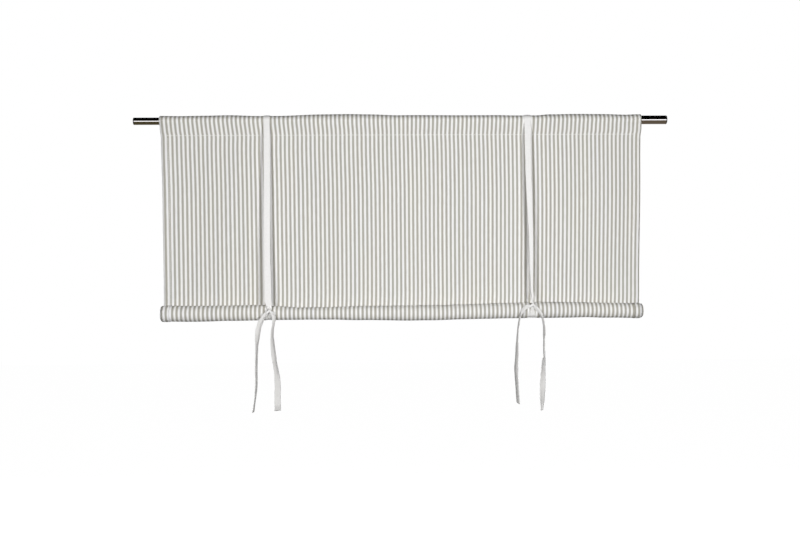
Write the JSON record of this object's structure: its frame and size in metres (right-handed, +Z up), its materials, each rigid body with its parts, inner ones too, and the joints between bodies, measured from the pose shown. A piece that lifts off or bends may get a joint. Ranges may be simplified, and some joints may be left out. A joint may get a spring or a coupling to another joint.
{
  "type": "tie-up roll blind",
  "caption": "Striped cotton blind, rolled up by hand and held by knotted tapes, with a sewn pocket that hangs it on a telescopic metal rod.",
  "frame": {"origin": "on the rod's axis, at the middle of the cloth's width", "axes": "+X along the rod to the viewer's right, +Z up, the front of the blind faces -Y"},
  "size_m": [1.112, 0.0414, 0.6147],
  "materials": {
    "striped_cotton": "woven cotton with grey-beige ticking stripes",
    "tie_tape": "off-white twill woven cotton tape",
    "rod_metal": "steel tube with polished black nickel plate",
    "plug_plastic": "moulded black plastic",
    "glide_plastic": "natural moulded nylon",
    "dowel_wood": "planed softwood dowel"
  },
  "bodies": {
    "blind": {"rod_outer_tube": "rod_metal", "rod_mouth_bush": "glide_plastic", "rod_end_plug_right": "plug_plastic", "blind_cloth": "striped_cotton", "hem_dowel": "dowel_wood", "tie_left_loop": "tie_tape", "tie_left_tail_a": "tie_tape", "tie_left_tail_b": "tie_tape", "tie_right_loop": "tie_tape", "tie_right_tail_a": "tie_tape", "tie_right_tail_b": "tie_tape"},
    "thin_tube": {"rod_inner_tube": "rod_metal", "rod_guide_sleeve": "glide_plastic", "rod_end_plug_left": "plug_plastic"}
  },
  "joints": [
    {"name": "rod_extension", "type": "slide", "parent": "blind", "child": "thin_tube", "axis": [-1, 0, 0], "range_m": [-0.055, 0.088]}
  ]
}
